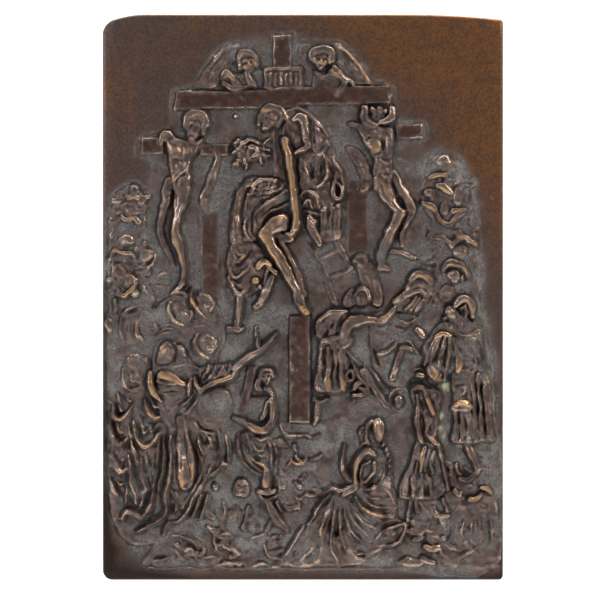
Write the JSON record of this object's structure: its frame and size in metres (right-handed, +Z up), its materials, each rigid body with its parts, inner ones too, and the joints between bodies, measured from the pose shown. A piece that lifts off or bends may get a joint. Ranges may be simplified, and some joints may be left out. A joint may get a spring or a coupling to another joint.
{
  "type": "relief plaque",
  "caption": "Rectangular cast bronze relief plaque, 150 by 212 mm: a descent from the cross with mourners, in low relief with a dark worn patina.",
  "frame": {"origin": "middle of the flat back face", "axes": "+Z up, the relief faces -Y, +X to the right as seen from the front"},
  "size_m": [0.1501, 0.0087, 0.212],
  "materials": {
    "patinated_bronze": "dark brown patina on cast bronze, worn golden on the high points, grey dust in the recesses"
  },
  "bodies": {
    "root": {"plaque": "patinated_bronze"}
  },
  "joints": []
}
